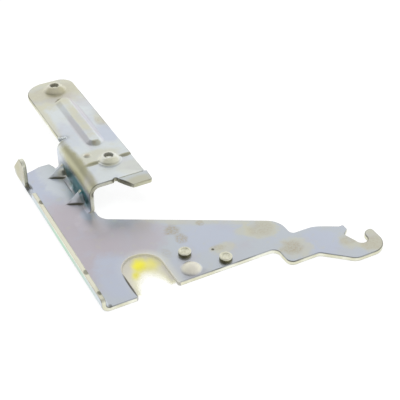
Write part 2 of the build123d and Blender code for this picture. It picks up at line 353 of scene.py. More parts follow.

# Tints of the plating, some of them painted shade, light and reflection, laid one over the other: colour,
# strength, raggedness, middle and radii in millimetres, turn in degrees
TINTS = [
    ("white", 1.0, 0.1, (13.0, 125.0, 24.0), (60.0, 120.0, 8.0), 0.0),
    ("sky", 1.0, 0.5, (-22.0, 116.0, 1.5), (22.0, 44.0, 4.0), 0.0),
    ("lilac", 1.0, 0.4, (-24.0, 40.0, 1.5), (26.0, 52.0, 4.0), 0.0),
    ("lilac", 0.8, 0.5, (8.0, 28.0, 1.5), (22.0, 22.0, 4.0), 0.0),
    ("sky", 0.9, 0.4, (-16.0, 0.0, 1.5), (15.0, 24.0, 4.0), 0.0),
    # Painted light on the plate at the foot of the wall
    ("foot_light", 0.6, 0.4, (-9.0, 54.0, 1.5), (12.0, 14.0, 4.0), 0.0),
    ("sky", 0.7, 0.4, (-9.0, 62.0, 1.5), (6.0, 7.0, 4.0), 0.0),
    ("white", 0.6, 0.7, (-14.0, 107.0, 1.5), (11.0, 30.0, 4.0), 0.0),
    ("beige", 0.55, 0.7, (52.0, 23.0, 1.5), (40.0, 5.5, 4.0), -28.7),
    # Painted reflection: darker where the plate reflects the lip and the wall
    ("shade", 0.5, 0.4, (9.0, 49.0, 1.5), (15.0, 12.0, 4.0), 0.0),
    ("sky", 0.7, 0.6, (48.0, 8.0, 1.5), (22.0, 14.0, 4.0), 0.0),
    ("sky", 0.8, 0.5, (106.0, -30.0, 1.5), (14.0, 14.0, 4.0), 0.0),
    ("beige", 0.7, 0.8, (80.7, -1.0, 1.5), (13.0, 11.0, 4.0), 0.0),
    ("beige", 0.5, 0.8, (69.5, 2.0, 1.5), (6.5, 5.0, 4.0), 0.0),
    ("beige", 0.7, 0.8, (51.0, -7.0, 1.5), (9.0, 6.0, 4.0), 0.0),
    ("beige", 0.6, 0.8, (90.0, -27.0, 1.5), (12.0, 11.0, 4.0), 0.0),
    ("beige", 0.75, 0.7, (124.0, -37.0, 1.5), (9.0, 9.0, 4.0), 0.0),
    ("beige", 0.8, 0.5, (136.0, -42.0, 1.5), (13.0, 14.0, 4.0), 0.0),
    ("beige", 0.9, 0.6, (8.0, 182.0, 23.0), (44.0, 28.0, 6.0), 0.0),
    ("beige", 0.8, 0.5, (-6.0, 150.0, 23.0), (7.0, 60.0, 6.0), 0.0),
    ("beige", 0.6, 0.9, (31.0, 130.0, 23.0), (6.0, 16.0, 6.0), 0.0),
    ("beige", 0.9, 0.5, (15.7, 136.0, 25.6), (5.5, 38.0, 1.2), 0.0),
    ("sky", 0.7, 0.5, (27.0, 112.0, 23.0), (7.0, 14.0, 3.0), 0.0),
    ("sky", 0.4, 0.5, (3.0, 122.0, 22.5), (7.0, 18.0, 1.8), 0.0),
    ("beige", 0.7, 0.5, (10.0, 90.0, 22.5), (18.0, 9.0, 4.0), 0.0),
    ("beige", 0.35, 0.6, (26.0, 70.0, 22.0), (12.0, 9.0, 3.0), 0.0),
    ("beige", 0.9, 0.3, (24.0, 56.0, 19.0), (14.0, 6.5, 5.0), 0.0),
    ("olive", 0.9, 0.3, (-5.0, 82.0, 21.0), (6.0, 40.0, 9.0), 0.0),
    ("teal", 1.0, 0.1, (-7.6, 84.0, 8.0), (1.8, 28.0, 8.0), 0.0),
    # Painted shade: lilac darkens the rib's two slopes
    ("lilac", 0.6, 0.3, (21.0, 136.0, 23.8), (3.0, 38.0, 2.4), 0.0),
    ("lilac", 0.45, 0.4, (10.4, 122.0, 23.8), (3.0, 28.0, 2.4), 0.0),
    ("cream", 0.5, 0.2, (16.0, 84.2, 24.0), (8.8, 8.8, 5.0), 0.0),
    # Painted shade: olive on the near boss's near side
    ("olive", 0.55, 0.2, (15.6, 79.6, 23.6), (7.0, 4.4, 3.0), 0.0),
    ("olive", 0.6, 0.4, (15.4, 103.2, 24.2), (3.6, 3.4, 2.4), 0.0),
    ("cream", 0.4, 0.2, (16.0, 181.2, 25.0), (8.8, 8.8, 5.0), 0.0),
    # Painted shade: olive on the far boss's near side
    ("olive", 0.9, 0.2, (15.0, 176.6, 24.0), (9.0, 6.6, 3.6), -10.0),
    # Painted shadow below the dome's near side
    ("shade", 0.5, 0.3, (25.4, -19.6, 1.5), (9.0, 4.4, 2.0), 0.0),
    ("cream", 1.0, 0.2, (24.8, -14.4, 3.0), (7.4, 7.4, 3.2), 0.0),
    ("beige", 1.0, 0.2, (-34.0, 116.0, 14.0), (5.0, 16.0, 14.0), 0.0),
    ("olive", 1.0, 0.5, (-34.0, 116.0, 14.0), (5.0, 16.0, 14.0), 0.0),
    ("cream", 0.7, 0.4, (-34.0, 36.0, 8.4), (2.8, 70.0, 2.0), 0.0),
    ("mint", 1.0, 0.3, (-37.0, 36.0, 3.0), (1.9, 74.0, 10.0), 0.0),
    # Painted shade on the near gusset's face by the wall
    ("shade", 0.6, 0.2, (-8.5, 74.6, 4.0), (4.6, 3.6, 6.0), 0.0),
    ("beige", 0.6, 0.2, (-8.5, 106.7, 4.0), (4.6, 3.6, 6.0), 0.0),
    # Painted shade: olive on the joggle's risers
    ("olive", 0.8, 0.4, (4.6, 84.2, 22.3), (6.6, 1.9, 1.6), 0.0),
    ("olive", 0.8, 0.4, (27.4, 84.2, 22.3), (6.0, 1.9, 1.6), 0.0),
]
# Bloom in clouds over the whole sheet: noise, its range, strength and colour
CLOUDS = [
    ("broad", (0.50, 0.75), 0.35, "lilac"),
    ("drift", (0.50, 0.75), 0.35, "sky"),
    ("mottle", (0.55, 0.80), 0.25, "beige"),
]
# Marks over everything else, cut edges too, in the same order as the tints; most of the dark ones are
# painted shade
MARKS = [
    ("cream", 1.0, 0.3, (-34.6, 36.0, 8.6), (2.2, 74.0, 1.8), 0.0),
    # Painted shade: a dark line along the flange's inner top edge
    ("dark", 0.30, 0.9, (-32.6, 40.0, 7.8), (0.8, 78.0, 1.2), 0.0),
    ("olive", 0.6, 0.3, (26.0, 53.4, 19.3), (8.4, 1.4, 2.4), 0.0),
    ("dark", 0.8, 0.2, (15.6, 58.2, 20.0), (6.6, 1.6, 2.6), -54.9),
    ("dark", 0.9, 0.6, (10.8, 62.6, 20.8), (2.6, 1.6, 1.9), 0.0),
    ("dark", 0.7, 0.5, (-4.4, 62.8, 14.6), (1.6, 1.4, 2.2), 0.0),
    # Painted shade: dark lines on the joggle's risers
    ("dark", 0.3, 0.5, (4.8, 84.0, 22.3), (6.0, 1.4, 1.4), 8.0),
    ("dark", 0.35, 0.5, (27.4, 84.0, 22.3), (5.4, 1.4, 1.4), 0.0),
    # Painted shade where the gussets meet the wall, and in the crease where the bend starts
    ("dark", 0.45, 0.1, (-8.2, 74.4, 3.0), (3.8, 3.0, 5.0), 0.0),
    ("dark", 0.1, 0.1, (-8.2, 106.5, 3.0), (3.8, 3.0, 5.0), 0.0),
    ("dark", 0.45, 0.1, (-9.7, 94.5, 1.6), (0.6, 9.5, 1.0), 0.0),
    # Painted shadows along the near bases of the gussets
    ("dark", 0.9, 0.1, (-12.0, 75.1, 1.6), (6.8, 0.9, 1.8), -25.2),
    ("dark", 0.9, 0.1, (-12.0, 107.2, 1.6), (6.8, 0.9, 1.8), -25.2),
    # Painted shade in the boss holes
    ("dark", 0.95, 0.2, (16.0, 84.2, 23.0), (4.2, 4.2, 6.0), 0.0),
    ("dark", 0.95, 0.2, (16.0, 181.2, 23.6), (4.2, 4.2, 6.0), 0.0),
    ("brown", 0.6, 0.2, (14.2, 103.2, 24.6), (1.6, 1.6, 1.2), 0.0),
    ("brown", 0.6, 0.2, (4.8, 93.9, 23.2), (2.2, 2.2, 1.6), 0.0),
    ("dark", 0.5, 0.2, (13.2, 166.2, 23.2), (4.2, 1.2, 1.3), 25.0),
    # Painted shade in the relief gap by the ear, and on the crown's left side
    ("dark", 0.85, 0.6, (-33.4, 107.4, 3.0), (3.2, 6.5, 4.4), 0.0),
    ("dark", 0.15, 0.4, (-7.0, 98.0, 15.4), (1.7, 16.0, 4.0), 0.0),
    ("dark", 0.7, 0.9, (-33.6, 79.7, 8.2), (1.6, 2.6, 2.0), 0.0),
    ("dark", 0.6, 0.9, (-33.8, 4.9, 8.2), (1.6, 2.4, 2.0), 0.0),
    ("dark", 0.7, 0.9, (-33.8, -15.1, 8.2), (1.6, 2.4, 2.0), 0.0),
    ("dark", 0.6, 0.9, (-30.4, -21.0, 2.4), (1.6, 2.2, 1.6), 0.0),
    ("dark", 0.9, 0.3, (44.5, -4.8, 1.5), (1.0, 1.0, 2.0), 0.0),
]
# Brown finger marks, broken up by fine ridges: strength, middle and radii in millimetres
FINGER_MARKS = [
    (1.0, (30.6, 23.0, 1.5), (5.8, 5.2, 3.0)),
    (0.9, (32.4, 13.6, 1.5), (4.6, 5.6, 3.0)),
    (0.4, (17.8, 5.0, 1.5), (3.6, 6.0, 3.0)),
    (0.8, (49.3, 21.4, 1.5), (3.4, 3.0, 3.0)),
    (0.6, (48.0, -4.8, 1.5), (5.0, 3.6, 3.0)),
    (0.8, (88.1, -25.8, 1.5), (8.0, 7.0, 3.0)),
    (0.5, (80.7, -1.0, 1.5), (9.0, 8.0, 3.0)),
    (0.5, (134.3, -45.0, 1.5), (9.0, 7.0, 3.0)),
    (0.5, (122.0, -36.0, 1.5), (7.0, 5.0, 3.0)),
    (0.5, (29.0, 128.0, 23.0), (5.0, 6.0, 3.0)),
    (0.4, (12.0, 178.0, 23.0), (24.0, 12.0, 4.0)),
]
RIDGE_RANGE = (0.38, 0.65)
RIDGE_SHARE = (0.15, 0.90)

# Wear of the cut edges, and the broken dark line along their rims, a painted reflection of the dark camera
# side, which is faint on the flange
WEAR_RANGE = (0.36, 0.60)
WEAR_STRENGTH = 0.85
RIM_RANGE = (0.35, 0.65)
RIM_SHARE = (0.15, 0.70)
FLANGE_SIDES = (-34.6, -31.5)
FLANGE_SHARE = (0.25, 1.0)
# The notch between wall and strip: its rims carry no dark line, and its edge faces are painted white, matt
# and rough, painted light over the notch's shade
NOTCH_PLACE = (-2.0, 120.2, 21.0)
NOTCH_RADII = (6.0, 4.0, 6.0)
NOTCH_ROUGH = 0.35
NOTCH_MATT = 0.9
# Grease on the slot's wall, and its faint halo on the plate, stronger on the right
PLATE_RANGE = (2.2, 4.0)
GREASED_RANGE = (SLOT_RADIUS_MM + 0.9, SLOT_RADIUS_MM + 1.7)
GREASED_MATT = 0.9
HALO_RANGE = (SLOT_RADIUS_MM - 0.1, SLOT_RADIUS_MM + 5.8)
HALO_SIDES = (-8.0, 11.0)
HALO_SHARE = (0.10, 0.40)
# Painted shade: a dark line along the slot's left edge
SLOT_LEFT_PLACE = (-12.9, -11.0, 1.7)
SLOT_LEFT_RADII = (1.4, 13.0, 1.6)
SLOT_LEFT_STRENGTH = 0.9
# The dome is polished duller than the plate round it
DOME_PLACE = (24.8, -14.4, 3.0)
DOME_RADII = (7.4, 7.4, 3.2)
DOME_ROUGH = 0.22
DOME_MATT = 0.25
# So are the screw bosses
BOSS_PLACES = [(16.0, 84.2, 25.0), (16.0, 181.2, 25.4)]
BOSS_RADII = (9.0, 9.0, 5.0)
BOSS_HEIGHTS = (22.9, 23.6)
BOSS_MATT = 0.65
# The pressed gussets are duller too, from just above the plate to just before the wall
GUSSET_PLACES = [(-12.4, 77.9, 5.5), (-12.4, 110.0, 5.5)]
GUSSET_RADII = (8.0, 6.5, 7.0)
GUSSET_HEIGHTS = (1.7, 2.4)
GUSSET_SIDES = (-9.6, -8.4)
GUSSET_MATT = 0.65
# The plate is duller at the foot of the wall
FOOT_PLACES = [(-13.5, 66.0, 1.5), (-14.5, 96.0, 1.5)]
FOOT_RADII = (10.0, 11.0, 3.0)
FOOT_CORE = 0.2
FOOT_MATT = 0.4
# Roughness that clouds, finger marks and cut edges add, and the plating's slight waves
MOTTLE_ROUGH = 0.12
BROAD_ROUGH = 0.06
MARK_ROUGH = 0.16
CUT_ROUGH = 0.10
WAVE_STRENGTH = 0.5
WAVE_DEPTH = 0.02 * MM
WAVE_MOTTLE = 0.6
# Where an oval's rim begins and ends, in shares of its radii
OVAL_CORE = 0.6
OVAL_END = 1.1


def oval(place, middle, radii, wander=0.0, turn=0.0, core=OVAL_CORE):
    """1 in the core of an oval turned about the upright, 0 outside it, with a wandering rim."""
    if turn:
        inputs = {"Vector": place, "Center": middle, "Angle": -radians(turn)}
        place = place.node("ShaderNodeVectorRotate", inputs, rotation_type="Z_AXIS")
    offset = place.node("ShaderNodeVectorMath", {0: place, 1: middle}, operation="SUBTRACT")
    scaled = place.node("ShaderNodeVectorMath", {0: offset, 1: radii}, operation="DIVIDE")
    reach = place.node("ShaderNodeVectorMath", {0: scaled}, output="Value", operation="LENGTH")
    return 1 - (reach + wander).ease(core, OVAL_END)


def tinted(zinc, colour, rows, settings):
    """Lays rows of ovals over a colour."""
    for name, strength, ragged, middle, radii, turn in rows:
        mask = oval(zinc.place, middle, radii, zinc.wander * ragged, turn) * strength
        colour = mask.mix(colour, rgba(getattr(settings, name)))
    return colour


def zinc_fields(start):
    """Places, marked edges and noises that the zinc finish is made from."""
    place = millimetres(start)
    x, y, z = place.parts()
    cut = start.node("ShaderNodeAttribute", output="Fac", attribute_name="cut_edge")
    rim = start.node("ShaderNodeAttribute", output="Fac", attribute_name="rim")
    broad = place.speckle(**BROAD)
    drift = place.speckle(**DRIFT)
    mottle = place.speckle(**MOTTLE)
    fine = place.speckle(**FINE)
    wander = mottle.swing(MOTTLE_WANDER) + fine.swing(FINE_WANDER)
    return SimpleNamespace(
        place=place, x=x, y=y, z=z, cut=cut, rim=rim, broad=broad, drift=drift, mottle=mottle, fine=fine,
        wander=wander,
    )


def bloom_and_shade_colour(zinc, settings):
    """Clean plating under its tints, some of them painted shade and light, and clouds of bloom."""
    colour = tinted(zinc, rgba(settings.clean), TINTS, settings)
    for noise, limits, strength, name in CLOUDS:
        mask = getattr(zinc, noise).ease(*limits) * strength
        colour = mask.mix(colour, rgba(getattr(settings, name)))
    return colour


def finger_marks(zinc):
    """Where fingers touched the sheet."""
    marks = 0.0
    for strength, middle, radii in FINGER_MARKS:
        mark = oval(zinc.place, middle, radii, zinc.wander) * strength
        marks = mark.largest(marks)
    return marks


def sheet_areas(zinc):
    """Gussets, notch, dome, and the rim and neighbourhood of the slot, which have a finish of their own."""
    pressed = oval(zinc.place, GUSSET_PLACES[0], GUSSET_RADII)
    pressed = pressed.largest(oval(zinc.place, GUSSET_PLACES[1], GUSSET_RADII))
    pressed = pressed * zinc.z.ease(*GUSSET_HEIGHTS) * (1 - zinc.x.ease(*GUSSET_SIDES))
    notch = oval(zinc.place, NOTCH_PLACE, NOTCH_RADII)
    dome = oval(zinc.place, DOME_PLACE, DOME_RADII)
    across = zinc.y.largest(0.0)
    slot = (zinc.x * zinc.x + across * across).root()
    low = 1 - zinc.z.ease(*PLATE_RANGE)
    greased = (1 - slot.ease(*GREASED_RANGE)) * low
    halo = (1 - slot.ease(*HALO_RANGE)) * low * zinc.x.ease(*HALO_SIDES).span(*HALO_SHARE)
    edges = zinc.cut.largest(zinc.rim)
    return SimpleNamespace(
        pressed=pressed, notch=notch, dome=dome, greased=greased, halo=halo, coated=edges * greased,
        notch_rim=edges * notch,
    )


def edge_colour(zinc, areas, colour, settings):
    """Lays the cut edges, the dark line along their rims, which is a painted reflection, and the slot's film
    over the plating.
    """
    worn = zinc.drift.ease(*WEAR_RANGE) * WEAR_STRENGTH
    edge = worn.mix(rgba(settings.sheared), rgba(settings.worn))
    colour = (zinc.cut * (1 - areas.pressed)).mix(colour, edge)
    # Painted reflection: a broken dark line along the rims, where the rolled edges mirror the dark camera
    # side
    line = zinc.place.speckle(**RIM_BREAKS).ease(*RIM_RANGE).span(*RIM_SHARE)
    line = line * zinc.x.ease(*FLANGE_SIDES).span(*FLANGE_SHARE)
    line = line * (1 - areas.notch) * (1 - areas.greased)
    colour = (zinc.rim * line).mix(colour, rgba(settings.dark))
    colour = areas.coated.mix(colour, rgba(settings.film))
    # Painted light: the notch's edge faces are painted white
    return areas.notch_rim.mix(colour, rgba(settings.white))


def slot_colour(zinc, areas, colour, settings):
    """Lays the grease's halo and the dark line of painted shade on the slot's left over the plating."""
    colour = areas.halo.mix(colour, rgba(settings.cream))
    # Painted shade along the slot's left edge
    left = oval(zinc.place, SLOT_LEFT_PLACE, SLOT_LEFT_RADII) * SLOT_LEFT_STRENGTH
    return left.mix(colour, rgba(settings.dark))


def zinc_matt(zinc, areas):
    """How dull the plating is, from 0 to 1."""
    matt = (areas.dome * DOME_MATT).largest(areas.coated * GREASED_MATT)
    matt = matt.largest(areas.notch_rim * NOTCH_MATT).largest(areas.pressed * GUSSET_MATT)
    raised = zinc.z.ease(*BOSS_HEIGHTS) * BOSS_MATT
    for middle in BOSS_PLACES:
        matt = matt.largest(oval(zinc.place, middle, BOSS_RADII) * raised)
    for middle in FOOT_PLACES:
        matt = matt.largest(oval(zinc.place, middle, FOOT_RADII, core=FOOT_CORE) * FOOT_MATT)
    return matt


def zinc_material(settings):
    """Bright zinc plating: bluish, with lilac and blue bloom, beige where handled, brown finger marks, and
    painted shade, light and reflection in places.
    """
    material, start = new_material("zinc_sheet_finish")
    zinc = zinc_fields(start)
    colour = bloom_and_shade_colour(zinc, settings)
    marks = finger_marks(zinc)
    ridges = zinc.fine.ease(*RIDGE_RANGE).span(*RIDGE_SHARE)
    colour = (marks * ridges).mix(colour, rgba(settings.brown))
    areas = sheet_areas(zinc)
    colour = edge_colour(zinc, areas, colour, settings)
    colour = tinted(zinc, colour, MARKS, settings)
    colour = slot_colour(zinc, areas, colour, settings)
    roughness = settings.roughness + zinc.mottle.swing(MOTTLE_ROUGH) + zinc.broad.swing(BROAD_ROUGH)
    roughness = roughness + marks * MARK_ROUGH + zinc.cut * CUT_ROUGH
    roughness = roughness + areas.dome * DOME_ROUGH + areas.notch * NOTCH_ROUGH
    waves = (zinc.broad + zinc.mottle * WAVE_MOTTLE).bump(WAVE_STRENGTH, WAVE_DEPTH)
    metallic = 1 - zinc_matt(zinc, areas)
    surface(start, {"Base Color": colour, "Metallic": metallic, "Roughness": roughness, "Normal": waves})
    return material


# Sheared edges have more metal than this behind them, looked for from just under the surface
CUT_DEPTH = 1.45 * SHEET
SKIN = 0.01 * MM
# Rims are edges of at least this angle, beside a cut edge of at least this width
RIM_ANGLE = radians(50)
RIM_WIDTH = SHEET / 3
RIM_SEGMENTS = 3
# Faces whose normals dip below this are on the underside
UNDERSIDE = -0.1
# Points nearer than this are one, and faces flatter than this are one
MERGE_DISTANCE = 0.002 * MM
FLAT_ANGLE = radians(0.5)
SHARP_ANGLE = radians(35)
RIM_SLOT = 1


def sheared(tree, spot, normal):
    """True on the sheared edges of the sheet."""
    _, _, _, depth = tree.ray_cast(spot - normal * SKIN, -normal)
    return depth is not None and depth > CUT_DEPTH


def weigh_rims(shape):
    """Gives a bevel weight to the edges between the sheet's faces and its sheared edges."""
    tree = BVHTree.FromBMesh(shape)
    cut = {face: sheared(tree, face.calc_center_median(), face.normal) for face in shape.faces}
    weights = shape.edges.layers.float.new("bevel_weight_edge")
    for edge in shape.edges:
        first, second = edge.link_faces
        if cut[first] == cut[second] or edge.calc_face_angle() < RIM_ANGLE:
            continue
        if not edge.is_convex and min(first.normal.z, second.normal.z) < UNDERSIDE:
            continue
        side = first if cut[first] else second
        if 2 * side.calc_area() / edge.calc_length() > RIM_WIDTH:
            edge[weights] = 1.0


def mark_edges(mesh):
    """Marks the rounded rims and the sheared edges for the finish."""
    shape = bmesh.new()
    shape.from_mesh(mesh)
    tree = BVHTree.FromBMesh(shape)
    shape.free()
    spots = {triangle.polygon_index: triangle.center for triangle in mesh.loop_triangles}
    rims = mesh.attributes.new("rim", "FLOAT", "FACE")
    cuts = mesh.attributes.new("cut_edge", "FLOAT", "FACE")
    for face in mesh.polygons:
        rims.data[face.index].value = float(face.material_index == RIM_SLOT)
        cuts.data[face.index].value = float(sheared(tree, spots[face.index], face.normal))
        face.material_index = 0


def rounded_sheet(settings):
    """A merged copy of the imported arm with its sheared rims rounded, and those faces marked."""
    shape = bmesh.new()
    shape.from_mesh(frame["nodes"]["hinge_arm"].data)
    bmesh.ops.remove_doubles(shape, verts=shape.verts, dist=MERGE_DISTANCE)
    weigh_rims(shape)
    bmesh.ops.dissolve_limit(shape, angle_limit=FLAT_ANGLE, verts=shape.verts, edges=shape.edges)
    raw = added("folded_sheet_raw", smooth_mesh(shape, "folded_sheet_raw", SHARP_ANGLE))
    # One empty slot for the sheet's faces, and RIM_SLOT for the rims that the bevel makes
    raw.data.materials.append(None)
    raw.data.materials.append(None)
    bevel = raw.modifiers.new("rims", "BEVEL")
    bevel.width = settings.edge_round
    bevel.segments = RIM_SEGMENTS
    bevel.limit_method = "WEIGHT"
    bevel.material = RIM_SLOT
    bevel.use_clamp_overlap = False
    weigh = raw.modifiers.new("normals", "WEIGHTED_NORMAL")
    weigh.keep_sharp = True
    done = evaluated_mesh(raw, "folded_sheet")
    mark_edges(done)
    return done


class HINGE_OT_sheet(Operator):
    """Dress the folded sheet"""

    bl_idname = "hinge.sheet"
    bl_label = "Folded sheet"

    def execute(self, context):
        settings = context.scene.hinge_sheet
        mesh = rounded_sheet(settings)
        sheet = added("folded_sheet", mesh)
        mesh.materials.clear()
        mesh.materials.append(zinc_material(settings))
        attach(sheet, BODY)
        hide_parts("hinge_arm")
        return {"FINISHED"}


# Grain and dirt of the studs, in millimetres
STUD_GRAIN = {"scale": 1.2, "seed": 2.0, "detail": 4.0}
STUD_DIRT = {"scale": 0.5, "seed": 9.0}
DUST_RANGE = (0.50, 0.62)
DUST_STRENGTH = 0.30
# Painted shade: below these heights the studs are darkened, for the shaded sides of the heads
SIDE_SHADE_HEIGHTS = (3.1, 3.6)
SIDE_SHADE_STRENGTH = 0.9
GRAIN_ROUGH = 0.16
GRAIN_STRENGTH = 0.4
GRAIN_DEPTH = 0.02 * MM


def stud_material(settings):
    """Plated rivet steel with dust in patches, and painted shade on the sides of its head and below."""
    material, start = new_material("stud_finish")
    place = millimetres(start)
    grain = place.speckle(**STUD_GRAIN)
    dirt = place.speckle(**STUD_DIRT)
    height = place.parts()[2]
    dust = dirt.ease(*DUST_RANGE) * DUST_STRENGTH
    # Painted shade on the sides of the heads
    side_shade = (1 - height.ease(*SIDE_SHADE_HEIGHTS)) * SIDE_SHADE_STRENGTH
    colour = dust.mix(rgba(settings.plating), rgba(settings.dust))
    colour = side_shade.mix(colour, rgba(settings.side_shade))
    roughness = settings.roughness + grain.swing(GRAIN_ROUGH)
    bump = grain.bump(GRAIN_STRENGTH, GRAIN_DEPTH)
    surface(start, {"Base Color": colour, "Metallic": 1.0, "Roughness": roughness, "Normal": bump})
    return material


# How finely a stud is turned
STUD_SIDES = 64
ROUNDING_STEPS = 5
POINT_DISTANCE = 0.001 * MM
# Slope of the ring in a stud's head: how far its top lies outside the ring, its bend and its foot inside it,
# and how deep the bend is
RING_TOP = 0.12 * MM
RING_BEND = 0.13 * MM
RING_FOOT = 0.5 * MM
RING_DEPTH = 0.2 * MM


def stud_profile(settings):
    """Half section of a stud as (radius, height) points, from its tail up to its dished head."""
    head_top = STUD_HIGH.z
    points = [
        (0.0, PLATE_BOTTOM),
        (settings.tail, PLATE_BOTTOM),
        (settings.neck, PLATE_BOTTOM + settings.peen),
        (settings.neck, PLATE_TOP),
        (settings.radius, PLATE_TOP),
    ]
    for step in range(ROUNDING_STEPS + 1):
        angle = step / ROUNDING_STEPS * pi / 2
        out = settings.radius - settings.rounding + settings.rounding * cos(angle)
        points.append((out, head_top - settings.rounding + settings.rounding * sin(angle)))
    points += [
        (settings.ring + RING_TOP, head_top),
        (settings.ring - RING_BEND, head_top - RING_DEPTH),
        (settings.ring - RING_FOOT, head_top - settings.dish),
        (0.0, head_top - settings.dish),
    ]
    return points


def stud_shape(settings):
    """One stud turned about the Z axis through the origin."""
    shape = bmesh.new()
    line = [shape.verts.new((radius, 0.0, height)) for radius, height in stud_profile(settings)]
    for first, second in zip(line, line[1:]):
        shape.edges.new((first, second))
    bmesh.ops.spin(
        shape, geom=shape.verts[:] + shape.edges[:], axis=(0, 0, 1), cent=(0, 0, 0), angle=2 * pi,
        steps=STUD_SIDES, use_merge=True,
    )
    bmesh.ops.remove_doubles(shape, verts=shape.verts, dist=POINT_DISTANCE)
    bmesh.ops.recalc_face_normals(shape, faces=shape.faces)
    return smooth_mesh(shape, "stud_shape", SHARP_ANGLE)


# Named inputs of the tree that repeats the studs
STUD_INPUTS = {
    "Stud": "NodeSocketGeometry",
    "Count": "NodeSocketInt",
    "First place": "NodeSocketVector",
    "Step": "NodeSocketVector",
    "Finish": "NodeSocketMaterial",
}


def stud_tree():
    """Repeats the shape it is given along a line of places, and sets its material."""
    tree = bpy.data.node_groups.new("like_studs", "GeometryNodeTree")
    for name, kind in STUD_INPUTS.items():
        tree.interface.new_socket(name, in_out="INPUT", socket_type=kind)
    tree.interface.new_socket("Studs", in_out="OUTPUT", socket_type="NodeSocketGeometry")
    given = tree.nodes.new("NodeGroupInput")
    line = tree.nodes.new("GeometryNodeMeshLine")
    repeat = tree.nodes.new("GeometryNodeInstanceOnPoints")
    realize = tree.nodes.new("GeometryNodeRealizeInstances")
    finish = tree.nodes.new("GeometryNodeSetMaterial")
    result = tree.nodes.new("NodeGroupOutput")
    for source, target in (
        (given.outputs["Count"], line.inputs["Count"]),
        (given.outputs["First place"], line.inputs["Start Location"]),
        (given.outputs["Step"], line.inputs["Offset"]),
        (line.outputs["Mesh"], repeat.inputs["Points"]),
        (given.outputs["Stud"], repeat.inputs["Instance"]),
        (repeat.outputs["Instances"], realize.inputs["Geometry"]),
        (realize.outputs["Geometry"], finish.inputs["Geometry"]),
        (given.outputs["Finish"], finish.inputs["Material"]),
        (finish.outputs["Geometry"], result.inputs["Studs"]),
    ):
        tree.links.new(source, target)
    return tree


def grown(source, tree, values, name):
    """Runs a node tree on a source object with named inputs and returns the result as a plain object."""
    modifier = source.modifiers.new(name, "NODES")
    modifier.node_group = tree
    for item in tree.interface.items_tree:
        if item.in_out == "INPUT" and item.name in values:
            modifier[item.identifier] = values[item.name]
    return added(name, evaluated_mesh(source, name))


class HINGE_OT_studs(Operator):
    """Make the riveted studs"""

    bl_idname = "hinge.studs"
    bl_label = "Riveted studs"

    def execute(self, context):
        settings = context.scene.hinge_studs
        source = added("stud_source", stud_shape(settings))
        first, last = STUD_PLACES[0], STUD_PLACES[-1]
        values = {
            "Count": settings.count,
            "First place": (first.x, first.y, 0.0),
            "Step": (last.x - first.x, last.y - first.y, 0.0),
            "Finish": stud_material(settings),
        }
        studs = grown(source, stud_tree(), values, "riveted_studs")
        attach(studs, BODY)
        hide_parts("inner_stud", "outer_stud")
        return {"FINISHED"}


# Grease film: it follows the slot's outline from one mouth to the other, a hair off its wall
GREASE_MOUTH = -19.5 * MM
GREASE_GAP = 0.02 * MM
# Half width and fullness of the flat arch of its inner rim
GREASE_INNER = 8.8 * MM
GREASE_ARCH = 1.3
# Share of the outline over which it thins out at each mouth, and how steeply it thins towards its inner rim
GREASE_FADE = 0.14
GREASE_SLOPE = 3
GREASE_STEPS = 120
GREASE_RINGS = 12
GREASE_SHARP = radians(40)
# Yellow lumps in the film: strength, middle and radii in millimetres, turn in degrees
YELLOW_LUMPS = [
    (0.6, (6.0, 3.0, -1.0), (8.0, 9.0, 4.0), -25.0),
    (0.9, (-5.2, -1.7, -1.0), (3.6, 5.6, 4.0), -25.0),
    (1.0, (-0.4, 5.2, -1.0), (6.0, 9.4, 4.0), -25.0),
    (0.7, (-0.4, 5.0, -1.0), (4.8, 7.4, 4.0), -25.0),
]
LUMP_NOISE = {"scale": 0.25, "seed": 4.0}
LUMP_CORE = 0.1
LUMP_WANDER = 0.5
LUMP_STRENGTH = 0.4
LUMP_DEPTH = 0.2 * MM
# Thickness over which the grease turns from pale to the painted shade against the wall, and from clear to
# dense
WALL_SHADE_RANGE = (0.25, 0.85)
DENSE_RANGE = (0.0, 0.75)
DENSE_WANDER = 0.15


def grease_material(settings):
    """Yellow grease: darkened against the wall by painted shade, strong yellow further in, and clear at its
    inner rim.
    """
    material, start = new_material("pivot_grease")
    place = millimetres(start)
    thick = start.node("ShaderNodeAttribute", output="Fac", attribute_name="thick")
    lumps = place.speckle(**LUMP_NOISE)
    colour = thick.ease(*WALL_SHADE_RANGE).mix(rgba(settings.pale), rgba(settings.wall_shade))
    for strength, middle, radii, turn in YELLOW_LUMPS:
        mask = oval(place, middle, radii, lumps.swing(LUMP_WANDER), turn, LUMP_CORE) * strength
        colour = mask.mix(colour, rgba(settings.yellow))
    alpha = (thick + lumps.swing(DENSE_WANDER)).ease(*DENSE_RANGE)
    bump = lumps.bump(LUMP_STRENGTH, LUMP_DEPTH)
    surface(start, {"Base Color": colour, "Roughness": settings.roughness, "Alpha": alpha, "Normal": bump})
    return material


def slot_outline(share):
    """A point on the slot's outline, from the left mouth round to the right one."""
    wall = SLOT_RADIUS - GREASE_GAP
    straight = -GREASE_MOUTH
    run = share * (2 * straight + pi * wall)
    if run < straight:
        return -wall, GREASE_MOUTH + run
    if run > straight + pi * wall:
        return wall, straight + pi * wall - run
    angle = pi - (run - straight) / wall
    return wall * cos(angle), wall * sin(angle)


def grease_inside(share, reach):
    """A point on the film's inner rim, a flat arch from mouth to mouth."""
    across = -cos(pi * share)
    rise = 1 - abs(across) ** GREASE_ARCH
    return across * GREASE_INNER, GREASE_MOUTH - (reach + GREASE_MOUTH) * rise


